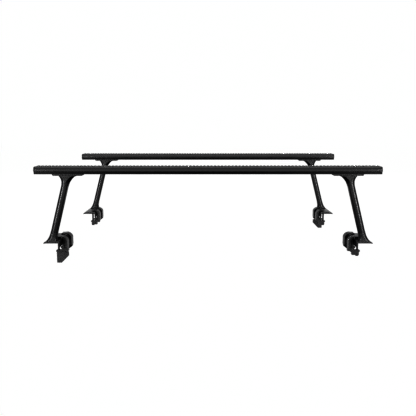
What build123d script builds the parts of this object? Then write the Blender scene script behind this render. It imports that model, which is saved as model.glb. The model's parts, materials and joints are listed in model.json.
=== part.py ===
from build123d import *
import math
import os

os.makedirs("parts", exist_ok=True)

# Ladder rack for a truck bed: two crossbars, each on two raked legs that clamp to the bed rails.
# X runs along the crossbars, Y along the bed with the front bar at -Y, Z is up.
# The origin is the middle of the rack at the height of its lowest edge, the screw covers' foot.
# Every leg piece is drawn once, for the front right corner, and mirrored to the other three.

# Overall
BAR_LENGTH = 1800.0
BAR_SPACING = 1100.0
RISE = 365.0
COVER_DROP = 122.0

# Crossbar extrusion
BAR_WIDTH = 60.0
BAR_HEIGHT = 38.0
BAR_BASE = 48.0
WAIST = 51.0
WAIST_Z = 13.0
LIP_LOW = 14.5
LIP_TOP = 17.0
CROWN_WIDTH = 34.0
SKIN = 2.6
SLOT_LIP = 3.0
TOP_SLOT = 18.0
TOP_CHANNEL = 26.0
TOP_CHANNEL_DEPTH = 8.0
BASE_SLOT = 11.0
BASE_CHANNEL = 23.0
BASE_CHANNEL_DEPTH = 8.0
CAP_THICKNESS = 8.5
CAP_PLUG = 18.0
PLUG_GAP = 0.3

# Ribbed rubber strip
STRIP_CROWN = 1.8
RIB_RISE = 2.2
RIB_LENGTH = 11.0
RIB_COUNT = 97
STRIP_GAP = 0.2

# Slide plate under the bar and its screws
PLATE_LENGTH = 158.0
PLATE_WIDTH = 52.0
PLATE_THICKNESS = 8.0
PLATE_X = 727.0
PLATE_CORNER = 5.0
SCREW_D = 6.0
SCREW_HEAD_D = 12.0
SCREW_HEAD_H = 3.0
SCREW_LENGTH = 16.0
SCREW_SEAT_D = 12.4
SCREW_KEY = 4.0
SCREW_KEY_DEPTH = 2.0
THREAD_GAP = 0.05
SLOT_SCREW_PITCH = 118.0
HEAD_SCREW_PITCH = 54.0
HEAD_SCREW_X = 731.0
NUT_LENGTH = 20.0
NUT_WIDTH = 22.4
NUT_THICKNESS = 5.5

# Raked leg
LEG_TOP_X = 730.4
LEG_FOOT_X = 826.9
TUBE_WIDTH = 34.0
TUBE_DEPTH = 44.0
TUBE_RADIUS = 15.0
TUBE_WALL = 3.0
TUBE_START = 60.0
TUBE_END = 308.0
NECK_STEP = 0.7
SPIGOT_LENGTH = 30.0
SPIGOT_ROOT = 14.0
BOND_GAP = 0.1

# Head casting
HEAD_FLANGE = 87.0
HEAD_FLANGE_X = 731.5
HEAD_DEPTH = 47.0
HEAD_FLANGE_Z = 12.0
HEAD_FLARE = 81.0
HEAD_FLARE_END = 52.0
FLARE_STEPS = 4
FLARE_REACH = 0.8
FLARE_POWER = 2.2

# Foot casting: positions along the foot are measured from the bar's centre plane
FOOT_NEAR = -27.0
FOOT_FAR = 191.0
FOOT_TIP_X = 867.0
FOOT_INNER_X = 783.5
FLANGE_THICKNESS = 6.0
FLANGE_DROP = 22.0
FOOT_PAD_THICKNESS = 4.0
FOOT_PAD_INSET = 1.0
SHELF_Z = 12.0
SHELF_OUTER_X = 838.0
TIP_LIP = 5.0
TIP_LIP_Z = -1.5
FOOT_END_RADIUS = 9.0
FOOT_FLARE = 67.0
FOOT_FLARE_TOP = 318.0

# Rail clamp: a wide spine and upper arm, and a narrower lower arm with a boss for the screw
CLAMP_WIDTH = 42.0
LOWER_WIDTH = 22.0
CLAMP_POSITIONS = (57.0, 149.0)
SPINE_X = 757.5
SPINE_THICKNESS = 21.0
SPINE_END = -44.0
ARM_TIP_X = 812.0
ARM_TOP = 23.0
ARM_THICKNESS = 4.2
NOSE_LENGTH = 11.0
LOWER_ARM_TIP_X = 821.5
LOWER_ARM_TOP = -52.7
LOWER_ARM_BOTTOM = -64.0
HEEL = (15.7, 12.0)
SPINE_CORNER = (24.0, 22.0)
SPINE_CORNER_RADIUS = 34.0
INNER_RADIUS = 9.0
CLAMP_EDGE = 1.0
POCKET_WIDTH = 6.0
POCKET_LENGTH = 46.0
POCKET_DEPTH = 7.0
POCKET_X = 14.0
POCKET_Z = -17.0
BOSS_INNER_X = 780.0
BOSS_OUTER_X = 816.5
BOSS_BOTTOM = -80.0

# Clamp screw, 3/8 inch with 16 threads to the inch, and its swivel pad
CLAMP_SCREW_X = 809.0
CLAMP_SCREW_D = 9.525
CLAMP_SCREW_FLATS = 14.29
CLAMP_SCREW_HEAD = 5.8
CLAMP_SCREW_END = -86.0
SWIVEL_D = 18.0
SWIVEL_TOP = -0.3
SWIVEL_PLATE = 4.0
SWIVEL_BOSS_D = 13.0
SWIVEL_BOSS = 4.5
SWIVEL_TIP_D = 7.0
SWIVEL_TIP = 5.0
RUNNING_GAP = 0.05

# Screw cover, a folded sheet channel round the boss, open outboard
COVER_SHEET = 1.8
COVER_GAP = 0.2
COVER_OUTER_X = 817.5
COVER_INNER_X = 757.5
COVER_NOSE_WIDTH = 15.0
COVER_FOOT_X = 793.0
COVER_CUT_Z = -86.0
CUT_MARGIN = 5.0

# Worked out from the above
BAR_Y = -BAR_SPACING / 2
RAIL_Z = COVER_DROP
BAR_Z = RAIL_Z + RISE
LEG_SLOPE = (LEG_FOOT_X - LEG_TOP_X) / RISE
LEG_ANGLE = math.atan(LEG_SLOPE)
STRIP_LENGTH = BAR_LENGTH - 2 * CAP_THICKNESS - 1
SPINE_INNER_X = SPINE_X + SPINE_THICKNESS
COVER_CUT_SLOPE = (COVER_CUT_Z + COVER_DROP) / (COVER_FOOT_X - COVER_INNER_X)
BAR_PLANE = Plane(origin=(0, BAR_Y, BAR_Z), x_dir=(0, 1, 0), z_dir=(1, 0, 0))


def cross_plane(along):
    """The X-Z plane at a distance along the foot from the bar's centre plane, at rail height."""
    return Plane(origin=(0, BAR_Y + along, RAIL_Z), x_dir=(1, 0, 0), z_dir=(0, -1, 0))


def leg_plane(drop):
    """The plane square to the leg where its axis is this far below the bar, facing down the leg."""
    return Plane(
        origin=(LEG_TOP_X + LEG_SLOPE * drop, BAR_Y, BAR_Z - drop),
        x_dir=(math.cos(LEG_ANGLE), 0, math.sin(LEG_ANGLE)),
        z_dir=(math.sin(LEG_ANGLE), 0, -math.cos(LEG_ANGLE)),
    )


def level_plane(drop):
    """The horizontal plane centred on the leg's axis this far below the bar."""
    return Plane(origin=(LEG_TOP_X + LEG_SLOPE * drop, BAR_Y, BAR_Z - drop))


def leg_run(start, end):
    """The length of leg between two drops."""
    return (end - start) / math.cos(LEG_ANGLE)


def save(piece, name):
    """Labels a finished piece and writes it."""
    piece.label = name
    export_step(piece, f"parts/{name}.step")


def save_corners(piece, ending, corners=("front_right", "front_left", "rear_right", "rear_left")):
    """Writes a front right piece at each named corner of the rack."""
    for corner in corners:
        with BuildPart() as placed:
            add(piece)
            if corner.startswith("rear"):
                mirror(about=Plane.XZ, mode=Mode.REPLACE)
            if corner.endswith("left"):
                mirror(about=Plane.YZ, mode=Mode.REPLACE)
        save(placed.part, f"{corner}_{ending}")


def save_both_bars(piece, ending):
    """Writes a front bar piece and its mirror image on the rear bar."""
    save(piece, f"front_{ending}")
    with BuildPart() as rear:
        add(piece)
        mirror(about=Plane.XZ, mode=Mode.REPLACE)
    save(rear.part, f"rear_{ending}")


# ---------------------------------------------------------------- crossbar


def bar_outline():
    """The bar's outer section, drawn in the active sketch with its base at zero height."""
    with BuildLine() as outline:
        base = Line((0, 0), (BAR_BASE / 2, 0))
        side = Line(base @ 1, (WAIST / 2, WAIST_Z))
        under = Line(side @ 1, (BAR_WIDTH / 2, LIP_LOW))
        Line(under @ 1, (BAR_WIDTH / 2, LIP_TOP))
        shoulder = EllipticalCenterArc(
            (CROWN_WIDTH / 2, LIP_TOP),
            (BAR_WIDTH - CROWN_WIDTH) / 2,
            BAR_HEIGHT - LIP_TOP,
            start_angle=0,
            arc_size=90,
        )
        Line(shoulder @ 1, (0, BAR_HEIGHT))
        mirror(about=Plane.YZ)
    make_face(outline.edges())


def side_cavity(gap):
    """The hollow on each side of the bar's slots, drawn this much smaller all round."""
    inner = TOP_CHANNEL / 2 + SKIN + gap
    low = SKIN + gap
    outer = BAR_WIDTH / 2 - SKIN - gap
    crown = CROWN_WIDTH / 2 + 1
    with BuildLine() as hollow:
        Polyline(
            (inner, low),
            (BAR_BASE / 2 - SKIN - gap, low),
            (WAIST / 2 - SKIN - gap, WAIST_Z),
            (outer, LIP_TOP),
            (outer - 3, LIP_TOP + 10),
            (crown, BAR_HEIGHT - SKIN - 1 - gap),
            (inner, BAR_HEIGHT - SKIN - 1 - gap),
            close=True,
        )
        mirror(about=Plane.YZ)
    make_face(hollow.edges())


with BuildPart() as crossbar:
    with BuildSketch(BAR_PLANE):
        bar_outline()
        with Locations((0, BAR_HEIGHT - SLOT_LIP / 2)):
            Rectangle(TOP_SLOT, SLOT_LIP, mode=Mode.SUBTRACT)
        with Locations((0, BAR_HEIGHT - SLOT_LIP - TOP_CHANNEL_DEPTH / 2)):
            Rectangle(TOP_CHANNEL, TOP_CHANNEL_DEPTH, mode=Mode.SUBTRACT)
        with Locations((0, SLOT_LIP / 2)):
            Rectangle(BASE_SLOT, SLOT_LIP, mode=Mode.SUBTRACT)
        with Locations((0, SLOT_LIP + BASE_CHANNEL_DEPTH / 2)):
            Rectangle(BASE_CHANNEL, BASE_CHANNEL_DEPTH, mode=Mode.SUBTRACT)
    extrude(amount=BAR_LENGTH / 2 - CAP_THICKNESS, both=True)
    with BuildSketch(BAR_PLANE):
        side_cavity(0)
    extrude(amount=BAR_LENGTH / 2, both=True, mode=Mode.SUBTRACT)

save_both_bars(crossbar.part, "crossbar")

with BuildPart() as end_caps:
    with BuildSketch(BAR_PLANE.offset(BAR_LENGTH / 2 - CAP_THICKNESS)):
        bar_outline()
    extrude(amount=CAP_THICKNESS)
    fillet(end_caps.faces().sort_by(Axis.X)[-1].edges(), 1.2)
    with BuildSketch(BAR_PLANE.offset(BAR_LENGTH / 2 - CAP_THICKNESS)):
        side_cavity(PLUG_GAP)
    extrude(amount=-CAP_PLUG)
    mirror(about=Plane.YZ)

save_both_bars(end_caps.part, "end_caps")

with BuildPart() as rubber_strip:
    with BuildSketch(BAR_PLANE):
        with Locations((0, BAR_HEIGHT + STRIP_CROWN / 2)):
            Rectangle(CROWN_WIDTH, STRIP_CROWN)
        with Locations((0, BAR_HEIGHT - SLOT_LIP / 2)):
            Rectangle(TOP_SLOT - 2 * STRIP_GAP, SLOT_LIP)
        with Locations((0, BAR_HEIGHT - SLOT_LIP - STRIP_GAP - 1.2)):
            Rectangle(TOP_CHANNEL - 1, 2.4)
        with Locations((0, BAR_HEIGHT - SLOT_LIP - STRIP_GAP / 2)):
            Rectangle(TOP_SLOT - 2 * STRIP_GAP, STRIP_GAP)
    extrude(amount=STRIP_LENGTH / 2, both=True)
    with BuildSketch(Plane(BAR_PLANE.origin, x_dir=(1, 0, 0), z_dir=(0, -1, 0))):
        with Locations((0, BAR_HEIGHT + STRIP_CROWN)):
            with GridLocations(STRIP_LENGTH / RIB_COUNT, 0, RIB_COUNT, 1):
                RectangleRounded(RIB_LENGTH, 2 * RIB_RISE, RIB_RISE * 0.95)
        with Locations((0, BAR_HEIGHT + STRIP_CROWN - 2)):
            Rectangle(BAR_LENGTH, 4, mode=Mode.SUBTRACT)
    extrude(amount=CROWN_WIDTH / 2 - 1.5, both=True)

save_both_bars(rubber_strip.part, "rubber_strip")

# ---------------------------------------------------------------- slide plate and its fasteners

SLOT_SCREW_XS = (PLATE_X - SLOT_SCREW_PITCH / 2, PLATE_X + SLOT_SCREW_PITCH / 2)
HEAD_SCREW_XS = (HEAD_SCREW_X - HEAD_SCREW_PITCH / 2, HEAD_SCREW_X + HEAD_SCREW_PITCH / 2)
SLOT_SCREW_SEATS = [
    Plane(origin=(x, BAR_Y, BAR_Z - PLATE_THICKNESS), z_dir=(0, 0, -1)) for x in SLOT_SCREW_XS
]
HEAD_SCREW_SEATS = [Plane(origin=(x, BAR_Y, BAR_Z)) for x in HEAD_SCREW_XS]

with BuildPart() as slide_plate:
    with BuildSketch(Plane(BAR_PLANE.origin, x_dir=(1, 0, 0), z_dir=(0, -1, 0))):
        with Locations((PLATE_X, -PLATE_THICKNESS / 2)):
            Rectangle(PLATE_LENGTH, PLATE_THICKNESS)
    extrude(amount=PLATE_WIDTH / 2, both=True)
    lower_ends = slide_plate.edges().filter_by(Axis.Y).group_by(Axis.Z)[0]
    chamfer(lower_ends, PLATE_CORNER)
    fillet(slide_plate.edges().filter_by(Axis.X).group_by(Axis.Z)[0], 1.5)
    with Locations(*SLOT_SCREW_SEATS, *HEAD_SCREW_SEATS):
        CounterSinkHole(SCREW_D / 2 + 0.2, SCREW_SEAT_D / 2, counter_sink_angle=90)

save_corners(slide_plate.part, "slide_plate")

with BuildPart() as slot_nuts:
    with BuildSketch(Plane.XY.offset(BAR_Z + SLOT_LIP)):
        with Locations(*[(x, BAR_Y) for x in SLOT_SCREW_XS]):
            Rectangle(NUT_LENGTH, NUT_WIDTH)
            Circle(SCREW_D / 2 + THREAD_GAP, mode=Mode.SUBTRACT)
    extrude(amount=NUT_THICKNESS)

save_corners(slot_nuts.part, "slot_nuts")

with BuildPart() as countersunk_screw:
    with BuildSketch(Plane.XZ):
        with BuildLine():
            Polyline(
                (0, 0),
                (SCREW_HEAD_D / 2, 0),
                (SCREW_D / 2, -SCREW_HEAD_H),
                (SCREW_D / 2, 0.6 - SCREW_LENGTH),
                (SCREW_D / 2 - 0.6, -SCREW_LENGTH),
                (0, -SCREW_LENGTH),
                close=True,
            )
        make_face()
    revolve(axis=Axis.Z)
    with BuildSketch():
        RegularPolygon(SCREW_KEY / 2, 6, major_radius=False)
    extrude(amount=-SCREW_KEY_DEPTH, mode=Mode.SUBTRACT)

with BuildPart() as plate_screws:
    with Locations(*SLOT_SCREW_SEATS, *HEAD_SCREW_SEATS):
        add(countersunk_screw.part)

save_corners(plate_screws.part, "plate_screws")

# ---------------------------------------------------------------- leg


def tube_section(growth):
    """The leg tube's section with this much added all round, drawn in the active sketch."""
    RectangleRounded(TUBE_WIDTH + 2 * growth, TUBE_DEPTH + 2 * growth, TUBE_RADIUS + growth)


def flare_spread(share):
    """How far a flare is from the tube's size (0) to the casting's own (1) at this share of its height."""
    return (1 - FLARE_REACH * share) ** FLARE_POWER


def flare_section(width, spread, full_depth):
    """One level of a casting's flare, drawn in the active sketch."""
    depth = NECK_DEPTH + spread * (full_depth - NECK_DEPTH)
    RectangleRounded(width, depth, min(width, depth) * 0.42 - 4 * spread)


NECK_LEVEL = (TUBE_WIDTH + 2 * NECK_STEP) / math.cos(LEG_ANGLE)
NECK_DEPTH = TUBE_DEPTH + 2 * NECK_STEP
SPIGOT_STEP = -TUBE_WALL - BOND_GAP

with BuildPart() as leg_tube:
    with BuildSketch(leg_plane(TUBE_START)):
        tube_section(0)
    extrude(amount=leg_run(TUBE_START, TUBE_END))
    with BuildSketch(leg_plane(TUBE_START)):
        tube_section(-TUBE_WALL)
    extrude(amount=leg_run(TUBE_START, TUBE_END), mode=Mode.SUBTRACT)

save_corners(leg_tube.part, "leg_tube")

with BuildPart() as leg_head:
    for step in range(FLARE_STEPS + 1):
        share = step / FLARE_STEPS
        drop = HEAD_FLANGE_Z + share * (HEAD_FLARE_END - HEAD_FLANGE_Z)
        spread = flare_spread(share)
        with BuildSketch(level_plane(drop)):
            flare_section(NECK_LEVEL + (HEAD_FLARE - NECK_LEVEL) * spread, spread, HEAD_DEPTH)
    with BuildSketch(leg_plane(TUBE_START)):
        tube_section(NECK_STEP)
    loft()
    with BuildSketch(Plane(origin=(HEAD_FLANGE_X, BAR_Y, BAR_Z - HEAD_FLANGE_Z))):
        RectangleRounded(HEAD_FLANGE, HEAD_DEPTH, HEAD_DEPTH * 0.34)
    extrude(amount=HEAD_FLANGE_Z - PLATE_THICKNESS)
    with BuildSketch(leg_plane(TUBE_START - SPIGOT_ROOT)):
        tube_section(SPIGOT_STEP)
    extrude(amount=leg_run(-SPIGOT_ROOT, SPIGOT_LENGTH))
    with Locations(*[(x, BAR_Y, BAR_Z - PLATE_THICKNESS) for x in HEAD_SCREW_XS]):
        Hole(SCREW_D / 2 + THREAD_GAP, depth=SCREW_LENGTH - PLATE_THICKNESS + 1)

save_corners(leg_head.part, "leg_head")

# ---------------------------------------------------------------- foot

FOOT_LENGTH = FOOT_FAR - FOOT_NEAR
FOOT_MIDDLE = (FOOT_FAR + FOOT_NEAR) / 2
SOLE_INNER_X = FOOT_INNER_X + FLANGE_THICKNESS
SOLE_OUTER_X = FOOT_TIP_X - TIP_LIP

with BuildPart() as foot:
    with BuildSketch(cross_plane(FOOT_MIDDLE)):
        with BuildLine():
            Polyline(
                (FOOT_INNER_X, SHELF_Z),
                (FOOT_INNER_X, -FLANGE_DROP),
                (SOLE_INNER_X, -FLANGE_DROP),
                (SOLE_INNER_X, FOOT_PAD_THICKNESS),
                (SOLE_OUTER_X, FOOT_PAD_THICKNESS),
                (SOLE_OUTER_X, TIP_LIP_Z),
                (FOOT_TIP_X, TIP_LIP_Z),
                (FOOT_TIP_X, TIP_LIP_Z + 1.5),
                (SOLE_OUTER_X, FOOT_PAD_THICKNESS + 2),
                (SHELF_OUTER_X, SHELF_Z),
                close=True,
            )
        make_face()
    extrude(amount=FOOT_LENGTH / 2, both=True)
    fillet(foot.edges().filter_by(Axis.Y).group_by(Axis.X)[0].sort_by(Axis.Z)[-1], 5)
    side_view = Plane(origin=(0, BAR_Y + FOOT_MIDDLE, RAIL_Z), x_dir=(0, 1, 0), z_dir=(1, 0, 0))
    with BuildSketch(side_view) as side_outline:
        with Locations((0, SHELF_Z - 40)):
            Rectangle(FOOT_LENGTH, 80)
        fillet(side_outline.vertices().group_by(Axis.Y)[-1], FOOT_END_RADIUS)
    extrude(amount=FOOT_TIP_X + 10, mode=Mode.INTERSECT)
    for step in range(FLARE_STEPS + 1):
        share = step / FLARE_STEPS
        base = RISE - FOOT_PAD_THICKNESS - 1
        spread = flare_spread(share)
        with BuildSketch(level_plane(base + share * (FOOT_FLARE_TOP - base))):
            flare_section(NECK_LEVEL + (FOOT_FLARE - NECK_LEVEL) * spread, spread, HEAD_DEPTH)
    with BuildSketch(leg_plane(TUBE_END)):
        tube_section(NECK_STEP)
    loft()
    with BuildSketch(leg_plane(TUBE_END + SPIGOT_ROOT)):
        tube_section(SPIGOT_STEP)
    extrude(amount=-leg_run(-SPIGOT_ROOT, SPIGOT_LENGTH))

save_corners(foot.part, "foot")

with BuildPart() as foot_pad:
    with BuildSketch(Plane.XY.offset(RAIL_Z)):
        with Locations(((SOLE_INNER_X + SOLE_OUTER_X) / 2, BAR_Y + FOOT_MIDDLE)):
            RectangleRounded(
                SOLE_OUTER_X - SOLE_INNER_X - 2 * FOOT_PAD_INSET,
                FOOT_LENGTH - 2 * FOOT_PAD_INSET,
                4,
            )
    extrude(amount=FOOT_PAD_THICKNESS)

save_corners(foot_pad.part, "foot_pad")

# ---------------------------------------------------------------- rail clamps


def clamp_outline():
    """The clamp's C outline with its boss, drawn in the active sketch."""
    with BuildLine() as outline:
        top = Polyline(
            (ARM_TIP_X, SHELF_Z),
            (ARM_TIP_X, ARM_TOP - 2),
            (ARM_TIP_X - 2, ARM_TOP),
            (SPINE_X + SPINE_CORNER[0], ARM_TOP),
        )
        corner = RadiusArc(top @ 1, (SPINE_X, ARM_TOP - SPINE_CORNER[1]), -SPINE_CORNER_RADIUS)
        below = Polyline(
            corner @ 1,
            (SPINE_X, LOWER_ARM_BOTTOM + HEEL[1]),
            (SPINE_X + HEEL[0], LOWER_ARM_BOTTOM),
            (BOSS_INNER_X, LOWER_ARM_BOTTOM),
            (BOSS_INNER_X, BOSS_BOTTOM),
            (BOSS_OUTER_X, BOSS_BOTTOM),
            (BOSS_OUTER_X, LOWER_ARM_BOTTOM),
            (LOWER_ARM_TIP_X, LOWER_ARM_BOTTOM + 3),
            (LOWER_ARM_TIP_X, LOWER_ARM_TOP - 3),
            (LOWER_ARM_TIP_X - 3, LOWER_ARM_TOP),
            (SPINE_INNER_X + INNER_RADIUS, LOWER_ARM_TOP),
        )
        heel = RadiusArc(below @ 1, (SPINE_INNER_X, LOWER_ARM_TOP + INNER_RADIUS), INNER_RADIUS)
        inside = Line(heel @ 1, (SPINE_INNER_X, ARM_TOP - ARM_THICKNESS - INNER_RADIUS))
        throat = RadiusArc(
            inside @ 1,
            (SPINE_INNER_X + INNER_RADIUS, ARM_TOP - ARM_THICKNESS),
            INNER_RADIUS,
        )
        Polyline(
            throat @ 1,
            (ARM_TIP_X - NOSE_LENGTH - 1, ARM_TOP - ARM_THICKNESS),
            (ARM_TIP_X - NOSE_LENGTH, SHELF_Z),
            (ARM_TIP_X, SHELF_Z),
        )
    make_face(outline.edges())


for number, position in enumerate(CLAMP_POSITIONS, start=1):
    with BuildPart() as clamp_frame:
        with BuildSketch(cross_plane(position)):
            clamp_outline()
            with Locations((SPINE_X, SPINE_END)):
                Rectangle(200, 200, align=(Align.CENTER, Align.MAX), mode=Mode.SUBTRACT)
        extrude(amount=CLAMP_WIDTH / 2, both=True)
        rim = [
            edge
            for edge in clamp_frame.faces().filter_by(Axis.Y).edges()
            if edge.center().X < ARM_TIP_X - NOSE_LENGTH and edge.center().Z > RAIL_Z + SPINE_END + 1
        ]
        fillet(rim, CLAMP_EDGE)
        for side in (-1, 1):
            pocket_floor = cross_plane(position + side * (CLAMP_WIDTH / 2 - POCKET_DEPTH))
            with BuildSketch(pocket_floor):
                with Locations((SPINE_X + POCKET_X, POCKET_Z)):
                    SlotOverall(POCKET_LENGTH, POCKET_WIDTH, rotation=90)
            extrude(amount=-side * POCKET_DEPTH * 2, mode=Mode.SUBTRACT)
        with BuildSketch(cross_plane(position)):
            clamp_outline()
        extrude(amount=LOWER_WIDTH / 2, both=True)
        with Locations((CLAMP_SCREW_X, BAR_Y + position, RAIL_Z + LOWER_ARM_TOP)):
            Hole(CLAMP_SCREW_D / 2 + THREAD_GAP, depth=LOWER_ARM_TOP - BOSS_BOTTOM)

    save_corners(clamp_frame.part, f"clamp_{number}_frame")

    screw_centre = (CLAMP_SCREW_X, BAR_Y + position)
    swivel_base = RAIL_Z + SWIVEL_TOP - SWIVEL_PLATE - SWIVEL_BOSS
    with BuildPart() as swivel_pad:
        with BuildSketch(Plane.XY.offset(swivel_base)):
            with Locations(screw_centre):
                Circle(SWIVEL_BOSS_D / 2)
        extrude(amount=SWIVEL_BOSS)
        with BuildSketch(Plane.XY.offset(swivel_base + SWIVEL_BOSS)):
            with Locations(screw_centre):
                Circle(SWIVEL_D / 2)
        extrude(amount=SWIVEL_PLATE)
        chamfer(swivel_pad.edges().group_by(Axis.Z)[-1], 1)
        with BuildSketch(Plane.XY.offset(swivel_base)):
            with Locations(screw_centre):
                Circle(SWIVEL_TIP_D / 2 + RUNNING_GAP)
        extrude(amount=SWIVEL_TIP + RUNNING_GAP, mode=Mode.SUBTRACT)

    save_corners(swivel_pad.part, f"clamp_{number}_pad")

    with BuildPart() as clamp_screw:
        with BuildSketch(Plane.XY.offset(RAIL_Z + CLAMP_SCREW_END)):
            with Locations(screw_centre):
                RegularPolygon(CLAMP_SCREW_FLATS / 2, 6, major_radius=False)
        extrude(amount=CLAMP_SCREW_HEAD)
        with BuildSketch(Plane.XY.offset(RAIL_Z + CLAMP_SCREW_END)):
            with Locations(screw_centre):
                Circle(CLAMP_SCREW_D / 2)
        extrude(amount=swivel_base - RUNNING_GAP - RAIL_Z - CLAMP_SCREW_END)
        with BuildSketch(Plane.XY.offset(RAIL_Z + CLAMP_SCREW_END)):
            with Locations(screw_centre):
                Circle(SWIVEL_TIP_D / 2)
        extrude(amount=swivel_base + SWIVEL_TIP - RUNNING_GAP - RAIL_Z - CLAMP_SCREW_END)

    save_corners(clamp_screw.part, f"clamp_{number}_screw")

# ---------------------------------------------------------------- screw cover


def cover_plan(growth, mode=Mode.ADD):
    """The channel's plan round the boss, this much larger all round, drawn in the active sketch."""
    wide = LOWER_WIDTH / 2 + COVER_GAP + growth
    nose = COVER_NOSE_WIDTH / 2 - COVER_SHEET + growth
    inner = COVER_INNER_X + COVER_SHEET - growth
    middle = BAR_Y + CLAMP_POSITIONS[0]
    with BuildLine() as outline:
        Polyline(
            (COVER_OUTER_X, middle - wide),
            (COVER_OUTER_X, middle + wide),
            (BOSS_INNER_X - COVER_GAP, middle + wide),
            (inner, middle + nose),
            (inner, middle - nose),
            (BOSS_INNER_X - COVER_GAP, middle - wide),
            close=True,
        )
    make_face(outline.edges(), mode=mode)


with BuildPart() as screw_cover:
    with BuildSketch():
        cover_plan(COVER_SHEET)
        cover_plan(0, Mode.SUBTRACT)
    extrude(amount=RAIL_Z + LOWER_ARM_BOTTOM - COVER_GAP)
    with BuildSketch(cross_plane(CLAMP_POSITIONS[0])):
        with BuildLine():
            Polyline(
                (COVER_INNER_X - CUT_MARGIN, -COVER_DROP - CUT_MARGIN),
                (COVER_INNER_X - CUT_MARGIN, COVER_CUT_Z + CUT_MARGIN * COVER_CUT_SLOPE),
                (COVER_FOOT_X + CUT_MARGIN / COVER_CUT_SLOPE, -COVER_DROP - CUT_MARGIN),
                close=True,
            )
        make_face()
    extrude(amount=LOWER_WIDTH, both=True, mode=Mode.SUBTRACT)

save_corners(screw_cover.part, "screw_cover", ("front_left", "rear_right"))
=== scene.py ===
import json
import math

import bpy
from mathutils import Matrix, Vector


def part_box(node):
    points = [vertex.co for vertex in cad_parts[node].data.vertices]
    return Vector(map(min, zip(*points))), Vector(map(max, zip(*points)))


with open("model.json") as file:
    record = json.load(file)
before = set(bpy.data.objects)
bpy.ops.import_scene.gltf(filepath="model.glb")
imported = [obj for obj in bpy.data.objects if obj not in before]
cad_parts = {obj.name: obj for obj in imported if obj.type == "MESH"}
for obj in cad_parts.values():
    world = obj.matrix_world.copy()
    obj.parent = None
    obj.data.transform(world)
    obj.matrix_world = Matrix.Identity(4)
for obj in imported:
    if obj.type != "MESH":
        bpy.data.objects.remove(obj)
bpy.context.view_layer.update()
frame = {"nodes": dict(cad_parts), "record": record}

# The camera stands in front of the middle of the front bar and looks down a little.
# Places are in metres, the pitch is in degrees, and the lens and sensor are in millimetres.
CAMERA_DISTANCE = 2.812
CAMERA_RISE = 0.2691
CAMERA_PITCH = 8.989
CAMERA_LENS = 47.35
CAMERA_SENSOR = 36

# The display leaves light linear, so that dark edges against the white keep their width.
DISPLAY_GAMMA = 1 / 2.2

# The room's light is the product of two ramps of (place, level) stops.
# One goes by height, from 0 (down) to 1 (up), the other by depth, from 0 (front) to 1 (back).
# The side lift adds to the height towards either side, so the dark below ends lower there.
WORLD_BY_HEIGHT = [(0.39, 0.0), (0.43, 1.0), (0.46, 1.0), (0.52, 0.8), (1.0, 0.8)]
WORLD_BY_DEPTH = [(0.05, 1.0), (0.25, 0.6), (0.42, 0.12), (0.80, 0.2), (0.95, 0.3)]
WORLD_SIDE_LIFT = 0.2
WORLD_STRENGTH = 4.4

# Soft boxes, in metres and watts. The two at the sides draw the streaks on the tubes.
OVERHEAD_PLACE = (0, -0.4, 3.2)
OVERHEAD_TARGET = (0, 0, 0.4)
OVERHEAD_SIZE = (4.0, 3.0)
OVERHEAD_POWER = 150
SIDE_PLACE = (2.4, -3.4, 0.8)
SIDE_TARGET = (0.75, -0.55, 0.3)
SIDE_SIZE = (0.5, 2.0)
SIDE_POWER = 90

# Fill lights beside and behind the rack. They aren't mirrored in the paint.
FILL_SIZE = (4.0, 2.0)
SIDE_FILL_PLACE = (5, 0.5, 0.6)
SIDE_FILL_TARGET = (0, 0.5, 0.3)
SIDE_FILL_POWER = 900
BACK_FILL_PLACE = (0, 5, 0.6)
BACK_FILL_TARGET = (0, 0, 0.3)
BACK_FILL_POWER = 2600

# The floor glows just under white and lies a little below the rack.
FLOOR_REACH = 12.0
FLOOR_DROP = 0.004
FLOOR_GREY = 0.001
FLOOR_GLOW = 0.997

# Painted edges look rounded by this radius, in metres.
PAINT_EDGE = 0.0006

nodes = frame["nodes"]


# ---------------------------------------------------------------- materials


def new_material(name):
    """A node material with its Principled shader and node tree."""
    material = bpy.data.materials.new(name)
    material.use_nodes = True
    tree = material.node_tree
    return material, tree, tree.nodes["Principled BSDF"]


def add_node(tree, kind, **inputs):
    """Adds a shader node and sets the named inputs."""
    node = tree.nodes.new(kind)
    for key, value in inputs.items():
        node.inputs[key.replace("_", " ")].default_value = value
    return node


def noise(tree, scale, detail=2.0, roughness=0.5, stretch=(1, 1, 1)):
    """Noise in object space, stretched along the axes, at this many cells a metre."""
    place = tree.nodes.new("ShaderNodeTexCoord")
    mapping = tree.nodes.new("ShaderNodeMapping")
    mapping.inputs["Scale"].default_value = stretch
    texture = add_node(tree, "ShaderNodeTexNoise", Scale=scale, Detail=detail, Roughness=roughness)
    tree.links.new(place.outputs["Object"], mapping.inputs["Vector"])
    tree.links.new(mapping.outputs["Vector"], texture.inputs["Vector"])
    return texture.outputs["Fac"]


def remap(tree, value, low, high):
    """Maps a 0 to 1 value to the range low to high."""
    node = add_node(tree, "ShaderNodeMapRange", To_Min=low, To_Max=high)
    tree.links.new(value, node.inputs["Value"])
    return node.outputs["Result"]


def tint(tree, value, dark, light):
    """A colour that runs from dark to light with a value."""
    ramp = tree.nodes.new("ShaderNodeValToRGB")
    ramp.color_ramp.elements[0].position = 0.3
    ramp.color_ramp.elements[0].color = (*dark, 1)
    ramp.color_ramp.elements[1].position = 0.7
    ramp.color_ramp.elements[1].color = (*light, 1)
    tree.links.new(value, ramp.inputs["Fac"])
    return ramp.outputs["Color"]


def bump(tree, height, distance, strength, normal=None):
    """A bump node fed by height, over an earlier normal if there is one."""
    node = add_node(tree, "ShaderNodeBump", Strength=strength, Distance=distance)
    tree.links.new(height, node.inputs["Height"])
    if normal is not None:
        tree.links.new(normal, node.inputs["Normal"])
    return node.outputs["Normal"]


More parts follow.
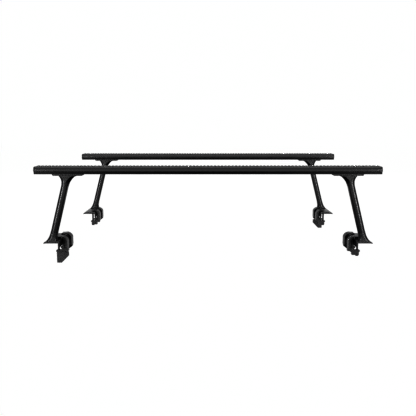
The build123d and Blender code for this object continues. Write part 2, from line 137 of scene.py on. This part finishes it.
def painted(name, dark, light, roughness, orange_peel):
    """Powder-coated metal: mottled black, fine orange peel, softened edges."""
    material, tree, shader = new_material(name)
    cloud = noise(tree, 14, 4.0)
    fine = noise(tree, 900, 3.0, 0.6)
    tree.links.new(tint(tree, cloud, dark, light), shader.inputs["Base Color"])
    tree.links.new(remap(tree, cloud, roughness - 0.04, roughness + 0.05), shader.inputs["Roughness"])
    rounded = add_node(tree, "ShaderNodeBevel", Radius=PAINT_EDGE)
    rounded.samples = 4
    normal = bump(tree, fine, 0.0004, orange_peel, rounded.outputs["Normal"])
    tree.links.new(normal, shader.inputs["Normal"])
    shader.inputs["Specular IOR Level"].default_value = 0.5
    return material


def rubber(name, dark, light, roughness):
    """Matt rubber with dusty mottling and a fine grain."""
    material, tree, shader = new_material(name)
    cloud = noise(tree, 25, 5.0)
    fine = noise(tree, 1600, 2.0)
    tree.links.new(tint(tree, cloud, dark, light), shader.inputs["Base Color"])
    tree.links.new(remap(tree, cloud, roughness - 0.05, roughness + 0.05), shader.inputs["Roughness"])
    tree.links.new(bump(tree, fine, 0.0003, 0.3), shader.inputs["Normal"])
    shader.inputs["Specular IOR Level"].default_value = 0.35
    return material


def steel(name, dark, light, roughness, metallic):
    """Plated or blackened steel with turned marks."""
    material, tree, shader = new_material(name)
    cloud = noise(tree, 60, 4.0)
    marks = noise(tree, 500, 2.0, 0.5, (1, 1, 8))
    tree.links.new(tint(tree, cloud, dark, light), shader.inputs["Base Color"])
    tree.links.new(remap(tree, marks, roughness - 0.06, roughness + 0.08), shader.inputs["Roughness"])
    tree.links.new(bump(tree, marks, 0.0002, 0.2), shader.inputs["Normal"])
    shader.inputs["Metallic"].default_value = metallic
    return material


MATERIALS = {
    "bar_paint": painted("bar_paint", (0.004, 0.004, 0.0044), (0.0055, 0.0055, 0.006), 0.20, 0.03),
    "tube_paint": painted("tube_paint", (0.004, 0.004, 0.0044), (0.007, 0.007, 0.0077), 0.20, 0.02),
    "casting_paint": painted("casting_paint", (0.005, 0.005, 0.0055), (0.008, 0.008, 0.0085), 0.26, 0.05),
    "clamp_paint": painted("clamp_paint", (0.007, 0.007, 0.0075), (0.011, 0.011, 0.0115), 0.28, 0.08),
    "sheet_paint": painted("sheet_paint", (0.022, 0.022, 0.023), (0.030, 0.030, 0.031), 0.55, 0.15),
    "strip_rubber": rubber("strip_rubber", (0.050, 0.050, 0.050), (0.070, 0.070, 0.070), 0.50),
    "pad_rubber": rubber("pad_rubber", (0.010, 0.010, 0.010), (0.018, 0.018, 0.018), 0.7),
    "cap_plastic": rubber("cap_plastic", (0.009, 0.009, 0.009), (0.013, 0.013, 0.013), 0.42),
    "black_screw": steel("black_screw", (0.020, 0.020, 0.020), (0.040, 0.040, 0.042), 0.36, 0.9),
    "zinc_steel": steel("zinc_steel", (0.42, 0.42, 0.43), (0.55, 0.55, 0.56), 0.35, 1.0),
}

for part in frame["record"]["subparts"]:
    mesh = nodes[part["node"]].data
    material = MATERIALS[part["material_slot"]]
    mesh.materials.clear()
    mesh.materials.append(material)


# ---------------------------------------------------------------- studio


def soft_box(name, place, target, size, power):
    """A rectangular soft light that faces target."""
    light = bpy.data.lights.new(name, "AREA")
    light.shape = "RECTANGLE"
    light.size, light.size_y = size
    light.energy = power
    lamp = bpy.data.objects.new(name, light)
    lamp.location = place
    lamp.rotation_euler = (Vector(target) - Vector(place)).to_track_quat("-Z", "Y").to_euler()
    bpy.context.scene.collection.objects.link(lamp)
    return lamp


def grey_ramp(tree, value, stops):
    """A ramp through (position, level) stops, read at value."""
    ramp = tree.nodes.new("ShaderNodeValToRGB")
    elements = ramp.color_ramp.elements
    while len(elements) < len(stops):
        elements.new(0.5)
    for element, (position, level) in zip(elements, stops):
        element.position = position
        element.color = (level, level, level, 1)
    tree.links.new(value, ramp.inputs["Fac"])
    return ramp.outputs["Color"]


def room_level(tree):
    """How bright the room is in each direction, from its height and depth ramps."""
    place = tree.nodes.new("ShaderNodeTexCoord")
    half = tree.nodes.new("ShaderNodeVectorMath")
    half.operation = "MULTIPLY_ADD"
    half.inputs[1].default_value = (0.5, 0.5, 0.5)
    half.inputs[2].default_value = (0.5, 0.5, 0.5)
    tree.links.new(place.outputs["Generated"], half.inputs[0])
    from_0_to_1 = tree.nodes.new("ShaderNodeSeparateXYZ")
    tree.links.new(half.outputs["Vector"], from_0_to_1.inputs["Vector"])
    direction = tree.nodes.new("ShaderNodeSeparateXYZ")
    tree.links.new(place.outputs["Generated"], direction.inputs["Vector"])

    sideways = tree.nodes.new("ShaderNodeMath")
    sideways.operation = "ABSOLUTE"
    tree.links.new(direction.outputs["X"], sideways.inputs[0])
    height = tree.nodes.new("ShaderNodeMath")
    height.operation = "MULTIPLY_ADD"
    height.inputs[1].default_value = WORLD_SIDE_LIFT
    tree.links.new(sideways.outputs["Value"], height.inputs[0])
    tree.links.new(from_0_to_1.outputs["Z"], height.inputs[2])

    product = tree.nodes.new("ShaderNodeVectorMath")
    product.operation = "MULTIPLY"
    tree.links.new(grey_ramp(tree, height.outputs["Value"], WORLD_BY_HEIGHT), product.inputs[0])
    tree.links.new(grey_ramp(tree, from_0_to_1.outputs["Y"], WORLD_BY_DEPTH), product.inputs[1])
    return product.outputs["Vector"]


def make_world():
    """White to the camera. To everything else a room that is bright in front, dim behind and dark below."""
    world = bpy.data.worlds.new("studio")
    world.use_nodes = True
    tree = world.node_tree
    tree.nodes.clear()
    room = tree.nodes.new("ShaderNodeBackground")
    room.inputs["Strength"].default_value = WORLD_STRENGTH
    tree.links.new(room_level(tree), room.inputs["Color"])
    white = tree.nodes.new("ShaderNodeBackground")
    white.inputs["Color"].default_value = (1, 1, 1, 1)
    path = tree.nodes.new("ShaderNodeLightPath")
    mix = tree.nodes.new("ShaderNodeMixShader")
    tree.links.new(path.outputs["Is Camera Ray"], mix.inputs["Fac"])
    tree.links.new(room.outputs["Background"], mix.inputs[1])
    tree.links.new(white.outputs["Background"], mix.inputs[2])
    out = tree.nodes.new("ShaderNodeOutputWorld")
    tree.links.new(mix.outputs["Shader"], out.inputs["Surface"])
    bpy.context.scene.world = world


def make_floor():
    """A pale floor that shows to the camera, but isn't mirrored in the paint."""
    mesh = bpy.data.meshes.new("floor")
    corners = [
        (-FLOOR_REACH, -FLOOR_REACH, -FLOOR_DROP),
        (FLOOR_REACH, -FLOOR_REACH, -FLOOR_DROP),
        (FLOOR_REACH, FLOOR_REACH, -FLOOR_DROP),
        (-FLOOR_REACH, FLOOR_REACH, -FLOOR_DROP),
    ]
    mesh.from_pydata(corners, [], [(0, 1, 2, 3)])
    floor = bpy.data.objects.new("floor", mesh)
    bpy.context.scene.collection.objects.link(floor)
    material, tree, shader = new_material("pale_floor")
    shader.inputs["Base Color"].default_value = (FLOOR_GREY, FLOOR_GREY, FLOOR_GREY, 1)
    shader.inputs["Roughness"].default_value = 0.9
    shader.inputs["Specular IOR Level"].default_value = 0.0
    shader.inputs["Emission Color"].default_value = (1, 1, 1, 1)
    shader.inputs["Emission Strength"].default_value = FLOOR_GLOW
    mesh.materials.append(material)
    floor.visible_glossy = False
    floor.visible_diffuse = False


def on_side(side, place):
    """A place on the right (1), or its mirror image on the left (-1)."""
    return (side * place[0], place[1], place[2])


def make_lights():
    """The soft boxes and the fill lights."""
    soft_box("overhead", OVERHEAD_PLACE, OVERHEAD_TARGET, OVERHEAD_SIZE, OVERHEAD_POWER)
    fills = []
    for side in (-1, 1):
        place = on_side(side, SIDE_PLACE)
        soft_box(f"side_{side}", place, on_side(side, SIDE_TARGET), SIDE_SIZE, SIDE_POWER)
        place = on_side(side, SIDE_FILL_PLACE)
        fills.append(soft_box(f"side_fill_{side}", place, SIDE_FILL_TARGET, FILL_SIZE, SIDE_FILL_POWER))
    fills.append(soft_box("back_fill", BACK_FILL_PLACE, BACK_FILL_TARGET, FILL_SIZE, BACK_FILL_POWER))
    for fill in fills:
        fill.visible_glossy = False


def make_camera():
    """The camera, placed from the front bar."""
    camera = bpy.data.objects.new("camera", bpy.data.cameras.new("camera"))
    camera.data.lens = CAMERA_LENS
    camera.data.sensor_width = CAMERA_SENSOR
    bar_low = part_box("front_crossbar")[0]
    camera.location = (0, bar_low.y - CAMERA_DISTANCE, bar_low.z + CAMERA_RISE)
    camera.rotation_euler = (math.radians(90 - CAMERA_PITCH), 0, 0)
    bpy.context.scene.collection.objects.link(camera)
    bpy.context.scene.camera = camera


make_world()
make_floor()
make_lights()
make_camera()
bpy.context.scene.view_settings.view_transform = "Standard"
bpy.context.scene.view_settings.gamma = DISPLAY_GAMMA
